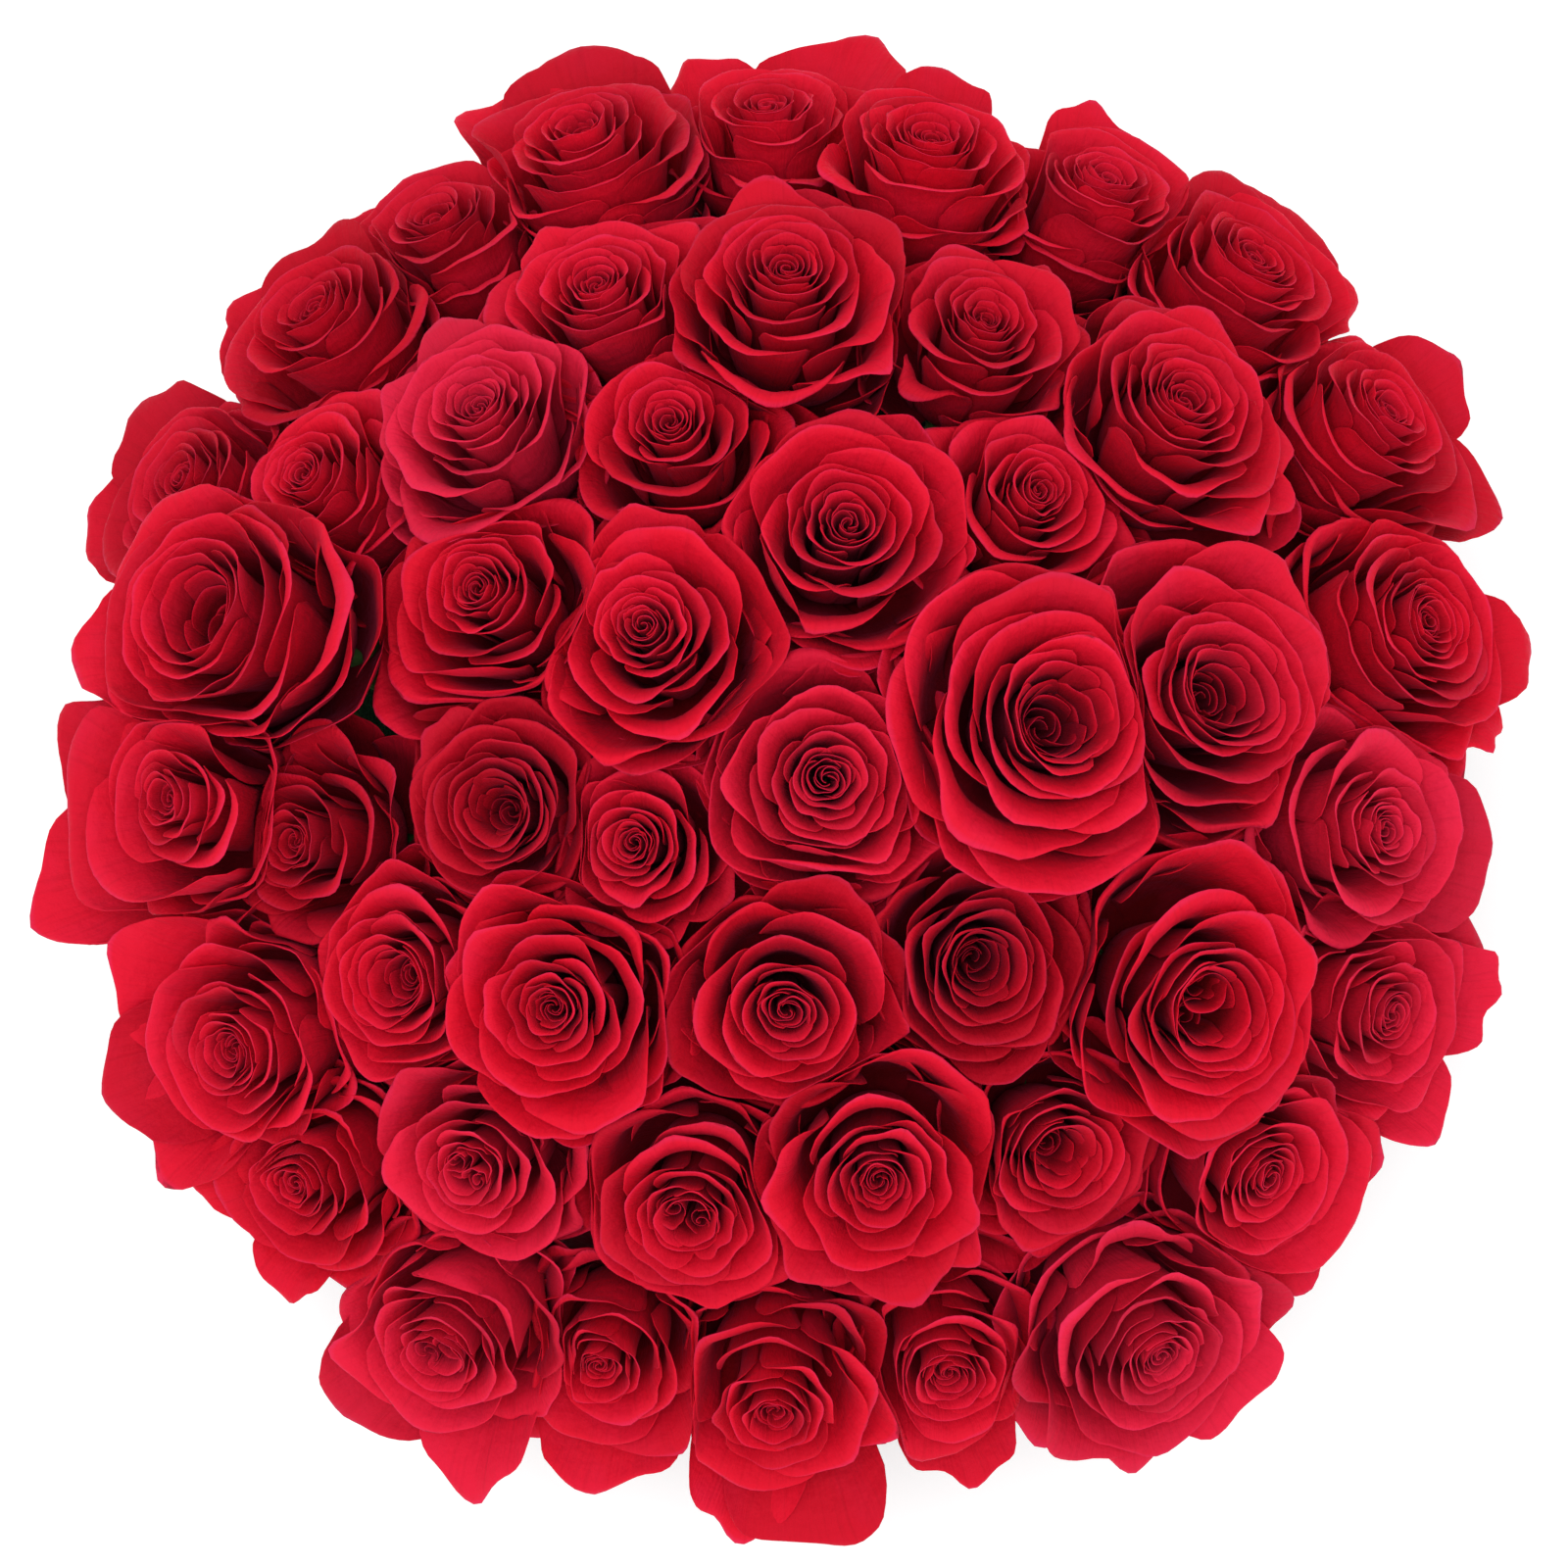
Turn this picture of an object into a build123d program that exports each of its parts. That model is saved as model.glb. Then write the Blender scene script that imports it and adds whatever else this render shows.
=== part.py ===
"""Round flower box: a covered board box, a liner with floral foam, and a dome of 48 cut roses.

Everything is in millimetres, with +Z up. The origin is the centre of the box's underside.
The roses stand on a dome whose centre is that same point: each stem points at the origin.
"""

from build123d import *
from math import asin, cos, radians, sin
import os

# ---- driving dimensions -------------------------------------------------------------------

BOX_RADIUS = 160
BOX_HEIGHT = 138
BOARD = 2.5
BASE_BOARD = 3.0
PAPER = 0.4

RIM_TURN_IN = 18
BASE_TURN_IN = 15
LINING_BELOW_RIM = 6

POT_TOP_RADIUS = 151
POT_BASE_RADIUS = 147
POT_WALL = 1.5
POT_FLOOR = 2.0
POT_LIP = 2.5
POT_BELOW_RIM = 8
POT_REST_GAP = 0.4

FOAM_BRICK_LENGTH = 230
FOAM_BRICK_WIDTH = 96
FOAM_BRICK_HEIGHT = 80
FOAM_GAP = 0.5
FOAM_CUT_RADIUS = 143
FOAM_DOME_RADIUS = 146
FOAM_CROWN_HEIGHT = 190

CALYX_DOME_RADIUS = 217
CALYX_RADIUS = 7
CALYX_HEIGHT = 10
STEM_RADIUS = 2.8
STEM_END_RADIUS = 150

HEAD_BASE_HEIGHT = 20
HEAD_HEIGHT_PER_DIAMETER = 0.45
HEAD_CENTRE_SHARE = 0.55
OUTER_SPREAD = 1.2
PETAL_GAP = 0.2

# ---- where the roses stand ----------------------------------------------------------------
# Each rose: the compass bearing of its bud from +X in degrees, the bud's reach from the box's
# axis, the diameter of its open head to the nearest 5, and its rise above (+) or below (-)
# the dome. Each ring runs anticlockwise.

CROWN = [
    (290, 25, 60, 0),
    (75, 43, 60, 4),
    (163, 40, 60, 3),
    (224, 57, 45, -4),
]

INNER_RING = [
    (352, 66, 75, 8),
    (40, 79, 50, 0),
    (114, 77, 50, 0),
    (161, 85, 55, 0),
    (200, 84, 50, -3),
    (234, 105, 60, 6),
    (267, 85, 55, 2),
    (305, 86, 55, 0),
    (0, 112, 75, 2),
]

MIDDLE_RING = [
    (38, 132, 60, 5),
    (64, 115, 50, 0),
    (92, 113, 60, 4),
    (115, 126, 55, 0),
    (138, 114, 55, 4),
    (153, 145, 50, 0),
    (194, 136, 45, -4),
    (215, 127, 50, 0),
    (235, 147, 50, 0),
    (258, 135, 55, 0),
    (280, 128, 60, 4),
    (300, 138, 50, 0),
    (323, 133, 70, 6),
]

OUTER_RING = [
    (10, 169, 65, 0),
    (29, 185, 60, 0),
    (46, 183, 60, 0),
    (62, 175, 50, -2),
    (77, 166, 55, 0),
    (92, 175, 50, -2),
    (109, 180, 60, 0),
    (124, 174, 50, -2),
    (139, 177, 55, 0),
    (157, 180, 55, -3),
    (170, 162, 75, 7),
    (188, 168, 70, 0),
    (210, 174, 60, 0),
    (223, 179, 55, -2),
    (241, 188, 60, 0),
    (253, 178, 50, -2),
    (268, 179, 55, 0),
    (283, 174, 50, -3),
    (300, 190, 60, 2),
    (316, 174, 60, 0),
    (333, 173, 60, 0),
    (349, 156, 60, 0),
]

ROSES = CROWN + INNER_RING + MIDDLE_RING + OUTER_RING

# ---- sizes worked out from the above ------------------------------------------------------

WALL_OUTER = BOX_RADIUS - PAPER
WALL_INNER = WALL_OUTER - BOARD
LINING_OUTER = WALL_INNER - PAPER
LINING_INNER = LINING_OUTER - PAPER
BASE_UNDERSIDE = 2 * PAPER
BASE_TOP = BASE_UNDERSIDE + BASE_BOARD
LINING_FLOOR = BASE_TOP + PAPER
LINING_TOP = BOX_HEIGHT - LINING_BELOW_RIM
POT_UNDERSIDE = LINING_FLOOR + POT_REST_GAP
POT_TOP = BOX_HEIGHT - POT_BELOW_RIM
FOAM_BASE = POT_UNDERSIDE + POT_FLOOR
BRICK_TOP = FOAM_BASE + FOAM_BRICK_HEIGHT
BRICK_HALF = FOAM_BRICK_WIDTH / 2

UPRIGHT = Plane.XZ

os.makedirs("parts", exist_ok=True)


def save(piece, name):
    """Label a finished piece and write it as one STEP file."""
    piece.part.label = name
    export_step(piece.part, f"parts/{name}.step")
    print(f"{name}: {piece.part.volume / 1000:.1f} cm3, {len(piece.part.solids())} solid(s)")


# ---- the covered box ----------------------------------------------------------------------


def make_box_wall():
    """The rolled board tube that forms the side of the box."""
    with BuildPart() as wall:
        with BuildSketch(Plane.XY.offset(BASE_UNDERSIDE)):
            Circle(WALL_OUTER)
            Circle(WALL_INNER, mode=Mode.SUBTRACT)
        extrude(amount=BOX_HEIGHT - PAPER - BASE_UNDERSIDE)
    save(wall, "box_wall")


def make_box_base():
    """The board disc glued into the bottom of the tube."""
    with BuildPart() as base:
        with BuildSketch(Plane.XY.offset(BASE_UNDERSIDE)):
            Circle(WALL_INNER)
        extrude(amount=BASE_BOARD)
    save(base, "box_base")


def make_outer_wrap():
    """The cover paper: under the base, up the side, over the rim and down inside."""
    with BuildPart() as wrap:
        with BuildSketch(UPRIGHT):
            with BuildLine():
                Polyline(
                    (BOX_RADIUS - BASE_TURN_IN, PAPER),
                    (BOX_RADIUS, PAPER),
                    (BOX_RADIUS, BOX_HEIGHT),
                    (LINING_OUTER, BOX_HEIGHT),
                    (LINING_OUTER, BOX_HEIGHT - RIM_TURN_IN),
                    (WALL_INNER, BOX_HEIGHT - RIM_TURN_IN),
                    (WALL_INNER, BOX_HEIGHT - PAPER),
                    (WALL_OUTER, BOX_HEIGHT - PAPER),
                    (WALL_OUTER, BASE_UNDERSIDE),
                    (BOX_RADIUS - BASE_TURN_IN, BASE_UNDERSIDE),
                    close=True,
                )
            make_face()
        revolve(axis=Axis.Z)
    save(wrap, "outer_wrap")


def make_base_sheet():
    """The round sheet that hides the turned-under edge, and that the box stands on."""
    with BuildPart() as sheet:
        with BuildSketch():
            Circle(WALL_INNER)
        extrude(amount=PAPER)
    save(sheet, "base_sheet")


def make_inner_lining():
    """The lining paper: a floor disc and a strip round the inside, over the turned-in edge."""
    with BuildPart() as lining:
        with BuildSketch(UPRIGHT):
            with BuildLine():
                Polyline(
                    (0, BASE_TOP),
                    (LINING_OUTER, BASE_TOP),
                    (LINING_OUTER, LINING_TOP),
                    (LINING_INNER, LINING_TOP),
                    (LINING_INNER, LINING_FLOOR),
                    (0, LINING_FLOOR),
                    close=True,
                )
            make_face()
        revolve(axis=Axis.Z)
    save(lining, "inner_lining")


# ---- the liner and its foam ---------------------------------------------------------------


def make_liner_pot():
    """The watertight plastic pot, slightly tapered, with a lip to lift it by."""
    with BuildPart() as pot:
        with BuildSketch(UPRIGHT):
            with BuildLine():
                Polyline(
                    (0, POT_UNDERSIDE),
                    (POT_BASE_RADIUS, POT_UNDERSIDE),
                    (POT_TOP_RADIUS, POT_TOP - POT_WALL),
                    (POT_TOP_RADIUS + POT_LIP, POT_TOP - POT_WALL),
                    (POT_TOP_RADIUS + POT_LIP, POT_TOP),
                    (POT_TOP_RADIUS - POT_WALL, POT_TOP),
                    (POT_BASE_RADIUS - POT_WALL, FOAM_BASE),
                    (0, FOAM_BASE),
                    close=True,
                )
            make_face()
        revolve(axis=Axis.Z)
    save(pot, "liner_pot")


def make_foam_brick(name, near_edge, far_edge):
    """One floral foam brick, trimmed to the pot's curve where it reaches it."""
    with BuildPart() as brick:
        with BuildSketch(Plane.XY.offset(FOAM_BASE)):
            with Locations((0, (near_edge + far_edge) / 2)):
                Rectangle(FOAM_BRICK_LENGTH, abs(far_edge - near_edge))
            Circle(FOAM_CUT_RADIUS, mode=Mode.INTERSECT)
        extrude(amount=FOAM_BRICK_HEIGHT)
    save(brick, name)


def make_foam_dome():
    """The domed foam block on top of the bricks, which holds every stem."""
    with BuildPart() as dome:
        with BuildSketch(Plane.XY.offset(BRICK_TOP)):
            Circle(FOAM_DOME_RADIUS)
        extrude(amount=FOAM_CROWN_HEIGHT - BRICK_TOP)
        Sphere(FOAM_CROWN_HEIGHT, mode=Mode.INTERSECT)
    save(dome, "foam_dome")


# ---- the roses ----------------------------------------------------------------------------


def head_height(diameter):
    """How tall a rose's head is, from its calyx to the top of its bud."""
    return HEAD_BASE_HEIGHT + HEAD_HEIGHT_PER_DIAMETER * diameter


def spread_of(rose):
    """How much wider than its size a head opens: more in the outer ring, with less to hold it."""
    return OUTER_SPREAD if rose in OUTER_RING else 1


def seat_of(rose):
    """The plane where a rose's petals meet its calyx, with the rose's axis along its z."""
    bearing, reach, diameter, rise = rose
    bud_radius = CALYX_DOME_RADIUS + rise + head_height(diameter)
    lean = asin(reach / bud_radius)
    turn = radians(bearing)
    axis = Vector(sin(lean) * cos(turn), sin(lean) * sin(turn), cos(lean))
    across = Vector(-sin(turn), cos(turn), 0)
    return Plane(origin=axis * (CALYX_DOME_RADIUS + rise), x_dir=across, z_dir=axis)


def profile_plane(seat):
    """The plane that holds a turned profile: its x runs across the rose, its y up its axis."""
    return Plane(origin=seat.origin, x_dir=seat.x_dir, z_dir=-seat.y_dir)


def head_centre(rose):
    """The middle of a rose's head."""
    seat = seat_of(rose)
    return seat.origin + seat.z_dir * (HEAD_CENTRE_SHARE * head_height(rose[2]))


def boundary(rose, neighbour):
    """The plane where two crowded heads press together, or None where they don't meet.

    The larger rose takes the larger share, and so does the one that stands higher.
    """
    here = head_centre(rose)
    across = head_centre(neighbour) - here
    distance = across.length
    own_size = (rose[2] + max(rose[3], 0)) / 2
    other_size = (neighbour[2] + max(neighbour[3], 0)) / 2
    if distance > own_size * spread_of(rose) + other_size * spread_of(neighbour):
        return None
    own_share = (distance**2 + own_size**2 - other_size**2) / (2 * distance)
    towards = across.normalized()
    return Plane(origin=here + towards * (own_share - PETAL_GAP / 2), z_dir=towards)


def make_rose_head(name, rose):
    """One open rose head: a plump turned solid, flattened where its neighbours press on it."""
    radius = rose[2] / 2 * spread_of(rose)
    height = head_height(rose[2])
    seat = seat_of(rose)
    boundaries = [boundary(rose, other) for other in ROSES if other is not rose]
    with BuildPart() as head:
        with BuildSketch(profile_plane(seat)):
            with BuildLine():
                Polyline(
                    (0, 0),
                    (CALYX_RADIUS, 0),
                    (0.62 * radius, 0.13 * height),
                    (0.86 * radius, 0.33 * height),
                    (radius, 0.6 * height),
                    (0.97 * radius, 0.76 * height),
                    (0.84 * radius, 0.89 * height),
                    (0.6 * radius, 0.97 * height),
                    (0.2 * radius, height),
                    (0, height),
                    close=True,
                )
            make_face()
        revolve(axis=Axis(seat.origin, seat.z_dir))
        for side in boundaries:
            if side is not None:
                split(bisect_by=side, keep=Keep.BOTTOM)
    save(head, name)


def make_rose_calyxes():
    """The green cups under the petals, one solid for each rose."""
    with BuildPart() as calyxes:
        for rose in ROSES:
            seat = seat_of(rose)
            with BuildSketch(profile_plane(seat)):
                with BuildLine():
                    Polyline(
                        (0, 0),
                        (0, -CALYX_HEIGHT),
                        (STEM_RADIUS, -CALYX_HEIGHT),
                        (0.75 * CALYX_RADIUS, -0.75 * CALYX_HEIGHT),
                        (0.75 * CALYX_RADIUS, -0.35 * CALYX_HEIGHT),
                        (CALYX_RADIUS, 0),
                        close=True,
                    )
                make_face()
            revolve(axis=Axis(seat.origin, seat.z_dir))
    save(calyxes, "rose_calyxes")


def make_rose_stems():
    """The cut stems, each pushed through the foam dome towards the middle of the box."""
    with BuildPart() as stems:
        for rose in ROSES:
            stem_top = seat_of(rose).offset(-CALYX_HEIGHT)
            with BuildSketch(stem_top):
                Circle(STEM_RADIUS)
            extrude(amount=-(stem_top.origin.length - STEM_END_RADIUS))
    save(stems, "rose_stems")


make_box_wall()
make_box_base()
make_outer_wrap()
make_base_sheet()
make_inner_lining()
make_liner_pot()
make_foam_brick("foam_brick_middle", -BRICK_HALF, BRICK_HALF)
make_foam_brick("foam_brick_front", -BRICK_HALF - FOAM_GAP, -FOAM_CUT_RADIUS)
make_foam_brick("foam_brick_back", BRICK_HALF + FOAM_GAP, FOAM_CUT_RADIUS)
make_foam_dome()
make_rose_calyxes()
make_rose_stems()
for number, rose in enumerate(ROSES, start=1):
    make_rose_head(f"rose_{number:02d}", rose)
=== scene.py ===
"""The looks of the round flower box: 48 red roses over a paper-covered board box.

The frame is that of the CAD model. The scene is in metres, while the roses and the cover paper are
worked out in millimetres and made smaller by MM. Each rose is one mesh of overlapping petals, which
replaces its plain CAD head and stands on the same calyx point and axis.
"""

import math

import bpy
import numpy as np
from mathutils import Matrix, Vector


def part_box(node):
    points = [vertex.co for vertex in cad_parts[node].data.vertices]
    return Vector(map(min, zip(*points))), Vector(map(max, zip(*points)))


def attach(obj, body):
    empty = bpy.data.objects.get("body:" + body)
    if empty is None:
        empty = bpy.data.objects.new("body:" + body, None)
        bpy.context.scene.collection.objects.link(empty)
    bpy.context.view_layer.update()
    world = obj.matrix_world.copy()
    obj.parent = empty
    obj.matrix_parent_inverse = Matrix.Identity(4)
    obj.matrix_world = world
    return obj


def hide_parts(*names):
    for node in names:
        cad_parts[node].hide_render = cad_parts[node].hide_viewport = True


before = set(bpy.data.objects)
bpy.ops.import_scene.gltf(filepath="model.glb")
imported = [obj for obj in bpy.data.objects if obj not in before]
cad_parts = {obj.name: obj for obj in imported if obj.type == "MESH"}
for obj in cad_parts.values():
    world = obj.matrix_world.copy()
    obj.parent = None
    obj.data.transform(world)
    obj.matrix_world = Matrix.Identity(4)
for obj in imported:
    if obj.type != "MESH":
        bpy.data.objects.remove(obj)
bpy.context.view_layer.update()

MM = 0.001

# Every random draw starts from SEED, and each kind of draw has a stream of its own.
SEED = 48
PETAL_STREAM = 100
OVERLAP_STREAM = 1000
WALL_STREAM = 2000
SEPAL_STREAM = 3000

# ---- the camera ---------------------------------------------------------------------------

CAMERA_ELEVATION = math.radians(79)
CAMERA_DISTANCE = 1.25
CAMERA_TARGET = (-0.0034, -0.016, 0.198)
FRAME_WIDTH = 0.408
SENSOR = 36.0

# ---- the light and the floor --------------------------------------------------------------

SKY_STRENGTH = 0.95
KEY_PLACE = (-0.15, -0.45, 2.3)
KEY_TARGET = (0, 0, 0.2)
KEY_SIZE = 1.1
KEY_POWER = 16
FLOOR_SIZE = 12
FLOOR_GREY = 0.93
FLOOR_GLOW = 0.25

# ---- colours: linear red, green, blue and alpha -------------------------------------------

WHITE = (1, 1, 1, 1)
# A deep red for veins and darker petals, and also the painted shade deep in the flower.
PETAL_DEEP_AND_SHADE = (0.12, 0.0006, 0.0018, 1)
PETAL_BODY = (0.7, 0.0045, 0.023, 1)
# A lighter pink for blotches of the petals' own tone, and also the painted highlight along their rims.
PETAL_BLOTCH_AND_HIGHLIGHT = (0.72, 0.016, 0.07, 1)
# The pink of paler roses, partly painted light on roses whose petals face the lamp.
PETAL_PALE_AND_LIGHT = (0.85, 0.035, 0.12, 1)
PETAL_BRUISE = (0.12, 0.004, 0.004, 1)
PETAL_SHEEN = (1.0, 0.1, 0.25, 1.0)
CALYX_DARK = (0.04, 0.11, 0.02, 1)
CALYX_LIGHT = (0.1, 0.2, 0.05, 1)
STEM_DARK = (0.03, 0.09, 0.015, 1)
STEM_LIGHT = (0.07, 0.16, 0.03, 1)
FOAM_PORE = (0.004, 0.02, 0.008, 1)
FOAM_WALL = (0.012, 0.05, 0.018, 1)
FOAM_CRUMB = (0.006, 0.028, 0.01, 1)
BOARD_DARK = (0.2, 0.17, 0.13, 1)
BOARD_LIGHT = (0.34, 0.3, 0.24, 1)
PLASTIC_BLACK = (0.012, 0.012, 0.013, 1)
PLASTIC_SCUFF = (0.03, 0.03, 0.032, 1)
COVER_BLACK = (0.005, 0.005, 0.006, 1)
COVER_GREY = (0.022, 0.022, 0.024, 1)
SHEET_BLACK = (0.006, 0.006, 0.007, 1)
SHEET_GREY = (0.02, 0.02, 0.022, 1)
LINING_BLACK = (0.01, 0.01, 0.011, 1)
LINING_GREY = (0.025, 0.025, 0.027, 1)

# ---- what sets the roses apart ------------------------------------------------------------
# CUPS have a deep, open centre and DOUBLES two centres side by side; the rest have a tight spiral.
# PALE_AND_PAINTED_LIGHT and DARK_AND_PAINTED_SHADE say how far a whole rose's colour goes towards pink or
# deep red: partly its own tone, partly painted light on roses whose petals face the lamp and painted
# shade on roses that sit low among their neighbours. SPREADS says how far its loose petals open, as a
# share of its radius, and PUSH how hard it presses on its neighbours.
# Roses that SPREADS or PUSH don't name take SPREAD, or 1.

CUPS = {"rose_05", "rose_09", "rose_12", "rose_13", "rose_21", "rose_25", "rose_26", "rose_37"}
DOUBLES = {"rose_22", "rose_23", "rose_26", "rose_41"}
PALE_AND_PAINTED_LIGHT = {
    "rose_01": 0.3,
    "rose_13": 0.2,
    "rose_18": 0.7,
    "rose_22": 0.4,
    "rose_41": 0.4,
    "rose_45": 0.6,
    "rose_46": 0.2,
    "rose_47": 0.4,
    "rose_48": 0.6,
}
DARK_AND_PAINTED_SHADE = {
    "rose_09": 0.7,
    "rose_12": 0.6,
    "rose_15": 0.3,
    "rose_20": 0.5,
    "rose_34": 0.4,
    "rose_35": 0.4,
    "rose_36": 0.4,
}
FIRST_OUTER = 27
SPREAD = 0.52
SPREADS = {
    "rose_27": 0.15,
    "rose_30": 0.6,
    "rose_31": 0.85,
    "rose_32": 1.15,
    "rose_33": 0.6,
    "rose_38": 0.95,
    "rose_39": 0.75,
    "rose_41": 0.6,
    "rose_42": 1.0,
    "rose_43": 0.85,
    "rose_44": 0.8,
    "rose_45": 0.3,
    "rose_48": 0.6,
}
PUSH = {
    "rose_01": 1.3,
    "rose_02": 0.8,
    "rose_03": 0.92,
    "rose_04": 1.6,
    "rose_05": 1.1,
    "rose_10": 0.82,
    "rose_12": 1.3,
    "rose_14": 0.88,
    "rose_15": 1.12,
    "rose_17": 1.05,
    "rose_20": 1.6,
    "rose_21": 1.25,
    "rose_23": 1.2,
    "rose_25": 1.2,
    "rose_38": 0.6,
}

# ---- the dome, in millimetres -------------------------------------------------------------

# The CAD's dome of calyxes, and how its heads grow with their radius.
CALYX_DOME_RADIUS = 217
HEAD_BASE_HEIGHT = 20
HEAD_HEIGHT_PER_RADIUS = 0.9
HEAD_CENTRE_SHARE = 0.55

# How neighbours share the space between them: a higher FAIRNESS gives the stronger rose more of
# it. The wall between them leans over the lower one and has gentle waves. It slows petals down from
# SOFT_START of the way to it, and leaves a rose at least LEAST_HOLD of its radius.
FAIRNESS = 0.5
RISE_PUSH = 0.15
NEIGHBOUR_REACH = 1.5
MOST_OVERLAP = 0.6
RISE_PER_OVERLAP = 30
WALL_WAVE = 3.0
WALL_WAVELENGTH = 30.0
WALL_GAP = 0.35
SOFT_START = 0.8
LEAST_HOLD = 0.3

# The room a bloom has, sampled round its axis, and the free reach that lets its petals go loose,
# in shares of its radius. A wall counts when it faces the petal by at least LEAST_FACING.
OPEN_REACH = 4
LEAST_FACING = 0.3
ROOM_STEPS = 24
ROOM_BLUR = 2
SNUG_ROOM = 1.03
LOOSE_FROM = 1.4
LOOSE_TO = 2.2

# How high petals and sepals pass over the box's rim, and from where to where past the rim this
# fades out.
RIM_CLEARANCE = 1.5
RIM_NEAR = 3
RIM_FAR = 16

# ---- the petals ---------------------------------------------------------------------------

# A rose has a bloom, whose first petals are its tight centre, then a loose skirt, and low guard
# petals that fill the gaps. The counts of the bloom are for a rose of MIDDLE_RADIUS.
FEWEST_PETALS = 23
MOST_PETALS = 27
CENTRE_PETALS = 5
SKIRT_PETALS = 8
GUARD_PETALS = 6
GOLDEN_ANGLE = math.radians(137.5)
MIDDLE_RADIUS = 28

# Shares of a rose's radius.
WIDEST_BLOOM = 1.28
GUARD_REACH = 1.6
OUTER_GUARD_REACH = 1.36

# The grid of one petal, its thickness in millimetres at the foot, and the share that its rim loses.
ACROSS = 24
ALONG = 15
PETAL_THICKNESS = 0.3
RIM_THINNING = 0.55

# A petal's shape, in shares of its width and length: the width of its foot, what it gains from
# there, where it reaches its full width, the width of its small tip, and where its rim rolls out.
# FOLD_ROUNDING and FOLD_DEPTH make the fold along its middle a soft one.
FOOT_WIDTH = 0.42
WIDENING = 0.58
FULL_WIDTH_AT = 0.72
TIP_WIDTH = 0.13
ROLL_FROM = 0.84
FOLD_ROUNDING = 0.006
FOLD_DEPTH = 0.077

# Soft bends that the petals of one rose share, and the finer crinkle of each, in millimetres.
FIELD_WAVES = 7
BEND = 0.9
BEND_WAVELENGTH = 38.0
CRINKLE = 0.36
CRINKLE_WAVELENGTH = 8.0
CRINKLE_SHIFT = 40
MOST_TILT = 0.07


# ---- small helpers ------------------------------------------------------------------------


def smooth_step(x, low, high):
    """0 below low, 1 above high, and a smooth climb between them."""
    t = np.clip((x - low) / (high - low), 0, 1)
    return t * t * (3 - 2 * t)


def unit(vectors):
    """The same directions, with a length of 1."""
    return vectors / np.maximum(np.linalg.norm(vectors, axis=-1, keepdims=True), 1e-12)


def node_points(name):
    """A CAD node's corner points, in metres."""
    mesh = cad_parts[name].data
    points = np.empty(len(mesh.vertices) * 3)
    mesh.vertices.foreach_get("co", points)
    return points.reshape(-1, 3)


def loose_parts(name):
    """The corner points of each separate solid in a CAD node."""
    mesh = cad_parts[name].data
    points = node_points(name)
    edges = np.empty(len(mesh.edges) * 2, dtype=int)
    mesh.edges.foreach_get("vertices", edges)
    edges = edges.reshape(-1, 2)
    _, places = np.unique(np.round(points, 7), axis=0, return_inverse=True)
    places = places.ravel()
    label = np.arange(places.max() + 1)
    ends = places[edges]
    while True:
        lowest = np.minimum(label[ends[:, 0]], label[ends[:, 1]])
        before = label.copy()
        np.minimum.at(label, ends[:, 0], lowest)
        np.minimum.at(label, ends[:, 1], lowest)
        label = label[label]
        if np.array_equal(before, label):
            break
    groups = label[places]
    return [points[groups == g] for g in np.unique(groups)]


def new_piece(name, points, quads, material, body):
    """A smooth mesh object made of four-sided faces, which rides on a CAD body."""
    mesh = bpy.data.meshes.new(name)
    mesh.vertices.add(len(points))
    mesh.vertices.foreach_set("co", np.ascontiguousarray(points, dtype=np.float32).ravel())
    mesh.loops.add(quads.size)
    mesh.loops.foreach_set("vertex_index", np.ascontiguousarray(quads, dtype=np.int32).ravel())
    mesh.polygons.add(len(quads))
    mesh.polygons.foreach_set("loop_start", np.arange(0, quads.size, 4, dtype=np.int32))
    mesh.polygons.foreach_set("use_smooth", np.ones(len(quads), dtype=bool))
    mesh.update(calc_edges=True)
    mesh.materials.append(material)
    piece = bpy.data.objects.new(name, mesh)
    bpy.context.collection.objects.link(piece)
    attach(piece, body)
    return piece


def point_attribute(piece, name, values):
    """Stores one number for each corner of a mesh, for its material to read."""
    layer = piece.data.attributes.new(name, "FLOAT", "POINT")
    layer.data.foreach_set("value", np.ascontiguousarray(values, dtype=np.float32))


# ---- materials ----------------------------------------------------------------------------


def new_material(name, **settings):
    """A material with one Principled shader. The settings are plain values of its sockets."""
    material = bpy.data.materials.new(name)
    material.use_nodes = True
    shader = material.node_tree.nodes["Principled BSDF"]
    for socket, value in settings.items():
        shader.inputs[socket.replace("_", " ")].default_value = value
    return material, material.node_tree, shader


def add_node(tree, kind, **settings):
    """One more node, with its properties and its unlinked inputs set."""
    node = tree.nodes.new(kind)
    for name, value in settings.items():
        if hasattr(node, name):
            setattr(node, name, value)
        else:
            node.inputs[name.replace("_", " ")].default_value = value
    return node


def maths(tree, operation, first, second):
    """A Math node. Each argument is a socket or a number."""
    node = add_node(tree, "ShaderNodeMath", operation=operation)
    for slot, value in enumerate((first, second)):
        if isinstance(value, (int, float)):
            node.inputs[slot].default_value = value
        else:
            tree.links.new(value, node.inputs[slot])
    return node.outputs[0]


def mixed_colour(tree, factor, first, second):
    """A colour mix. Each colour is a socket or an RGBA tuple; the factor a socket or a number."""
    node = add_node(tree, "ShaderNodeMix", data_type="RGBA", blend_type="MIX")
    for slot, value in ((0, factor), (6, first), (7, second)):
        if isinstance(value, (tuple, int, float)):
            node.inputs[slot].default_value = value
        else:
            tree.links.new(value, node.inputs[slot])
    return node.outputs[2]


def scaled(tree, value, factor):
    """A socket's number times a plain number."""
    return maths(tree, "MULTIPLY", value, factor)


def ramp(tree, value, low, high):
    """0 to 1 as the value goes from low to high."""
    node = add_node(tree, "ShaderNodeMapRange", From_Min=low, From_Max=high)
    tree.links.new(value, node.inputs["Value"])
    return node.outputs["Result"]


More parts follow.
